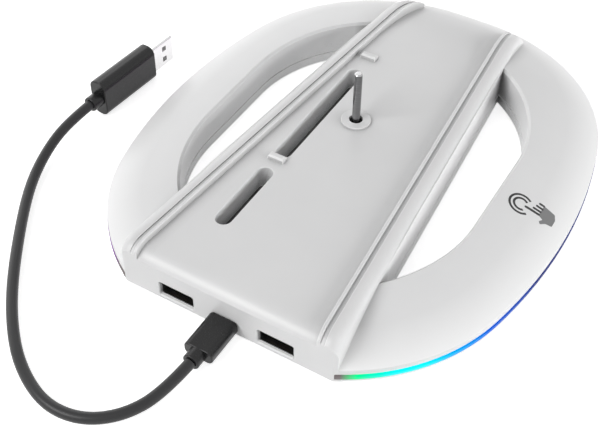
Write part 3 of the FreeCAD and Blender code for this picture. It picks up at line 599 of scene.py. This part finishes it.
# Feet: four round pads punched from dark rubber sheet.
# They are glued into shallow pockets of the cover, and the stand rests on them.
rubber = moulding("foot_rubber", (0.05, 0.05, 0.052), (0.075, 0.075, 0.078),
                  roughness=0.7, grain=0.0004, relief=0.00003, edge=0.0002)
dress(rubber, "foot_front_left", "foot_front_right", "foot_back_left", "foot_back_right")


# Floor and light: a white flat table in a light tent, brighter round the horizon than overhead. The right
# softbox stays out of reflections, so that the deck doesn't mirror it at a flat angle.
def seen_straight(tree):
    """1 for what is seen, mirrored or seen through a clear piece, and 0 for light on the object."""
    path = tree.nodes.new("ShaderNodeLightPath")
    mirrored = tree.nodes.new("ShaderNodeMath")
    mirrored.operation = "MAXIMUM"
    through = tree.nodes.new("ShaderNodeMath")
    through.operation = "MAXIMUM"
    tree.links.new(path.outputs["Is Camera Ray"], mirrored.inputs[0])
    tree.links.new(path.outputs["Is Glossy Ray"], mirrored.inputs[1])
    tree.links.new(mirrored.outputs["Value"], through.inputs[0])
    tree.links.new(path.outputs["Is Transmission Ray"], through.inputs[1])
    return through.outputs["Value"]


table = bmesh.new()
bmesh.ops.create_grid(table, x_segments=1, y_segments=1, size=3.0)
table_mesh = bpy.data.meshes.new("floor")
table.to_mesh(table_mesh)
table.free()
floor = bpy.data.objects.new("floor", table_mesh)
collection.objects.link(floor)
floor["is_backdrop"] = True
table_white = bpy.data.materials.new("table_white")
table_white.use_nodes = True
tree = table_white.node_tree
tree.nodes.remove(tree.nodes["Principled BSDF"])
paper = tree.nodes.new("ShaderNodeBsdfDiffuse")
paper.inputs["Color"].default_value = (0.85, 0.85, 0.85, 1.0)
shine = tree.nodes.new("ShaderNodeEmission")
shine.inputs["Color"].default_value = (1.0, 1.0, 1.0, 1.0)
lift = tree.nodes.new("ShaderNodeMath")
lift.operation = "MULTIPLY"
lift.inputs[1].default_value = 0.75
both = tree.nodes.new("ShaderNodeAddShader")
tree.links.new(seen_straight(tree), lift.inputs[0])
tree.links.new(lift.outputs["Value"], shine.inputs["Strength"])
tree.links.new(paper.outputs["BSDF"], both.inputs[0])
tree.links.new(shine.outputs["Emission"], both.inputs[1])
tree.links.new(both.outputs["Shader"], tree.nodes["Material Output"].inputs["Surface"])
table_mesh.materials.append(table_white)

tent = bpy.data.worlds.new("light_tent")
bpy.context.scene.world = tent
tent.use_nodes = True
tree = tent.node_tree
tree.nodes.clear()
place = tree.nodes.new("ShaderNodeTexCoord")
height = tree.nodes.new("ShaderNodeSeparateXYZ")
cloth = tree.nodes.new("ShaderNodeValToRGB")
cloth.color_ramp.elements[0].position = 0.0
cloth.color_ramp.elements[0].color = (1.1, 1.1, 1.1, 1.0)
cloth.color_ramp.elements[1].position = 1.0
cloth.color_ramp.elements[1].color = (0.4, 0.4, 0.4, 1.0)
fall = tree.nodes.new("ShaderNodeBackground")
fall.inputs["Strength"].default_value = 0.395
backdrop = tree.nodes.new("ShaderNodeBackground")
backdrop.inputs["Color"].default_value = (1.0, 1.0, 1.0, 1.0)
backdrop.inputs["Strength"].default_value = 1.0
pick = tree.nodes.new("ShaderNodeMixShader")
sky = tree.nodes.new("ShaderNodeOutputWorld")
tree.links.new(place.outputs["Generated"], height.inputs["Vector"])
tree.links.new(height.outputs["Z"], cloth.inputs["Fac"])
tree.links.new(cloth.outputs["Color"], fall.inputs["Color"])
tree.links.new(seen_straight(tree), pick.inputs["Fac"])
tree.links.new(fall.outputs["Background"], pick.inputs[1])
tree.links.new(backdrop.outputs["Background"], pick.inputs[2])
tree.links.new(pick.outputs["Shader"], sky.inputs["Surface"])


def softbox(name, spot, width, height, watts):
    """Area lamp that points at the middle of the stand."""
    lamp = bpy.data.lights.new(name, "AREA")
    lamp.shape = "RECTANGLE"
    lamp.size = width
    lamp.size_y = height
    lamp.energy = watts
    box = bpy.data.objects.new(name, lamp)
    box.location = spot
    box.rotation_mode = "QUATERNION"
    box.rotation_quaternion = (stand_middle - box.location).to_track_quat("-Z", "Y")
    collection.objects.link(box)
    return box


stand_middle = Vector((0, 0, 0.01))
softbox("left_softbox", (-0.88, 0.5, 0.42), width=1.6, height=0.84, watts=4.8)
right_softbox = softbox("right_softbox", (0.95, 0.2, 0.22), width=1.2, height=0.42, watts=7.6)
right_softbox.visible_glossy = False
softbox("front_softbox", (-0.4, -0.8, 0.7), width=0.75, height=0.42, watts=6.6)


# Camera: the photograph's viewpoint, from the front right and half above.
# Its place, lens and small roll are fitted to the stand's outline in the photograph.
camera_data = bpy.data.cameras.new("camera")
camera_data.sensor_width = 36.0
camera_data.lens = 63.886
camera = bpy.data.objects.new("camera", camera_data)
camera.location = (0.1304, -0.2719, 0.2765)
view_middle = Vector((-0.0012, -0.04795, 0.0097))
roll = Matrix.Rotation(math.radians(0.67), 4, "Z").to_quaternion()
camera.rotation_mode = "QUATERNION"
camera.rotation_quaternion = (view_middle - camera.location).to_track_quat("-Z", "Y") @ roll
camera_data.clip_start = 0.01
camera_data.clip_end = 20.0
collection.objects.link(camera)
bpy.context.scene.camera = camera
bpy.context.scene.view_settings.view_transform = "Standard"

bpy.context.view_layer.update()
low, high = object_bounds()
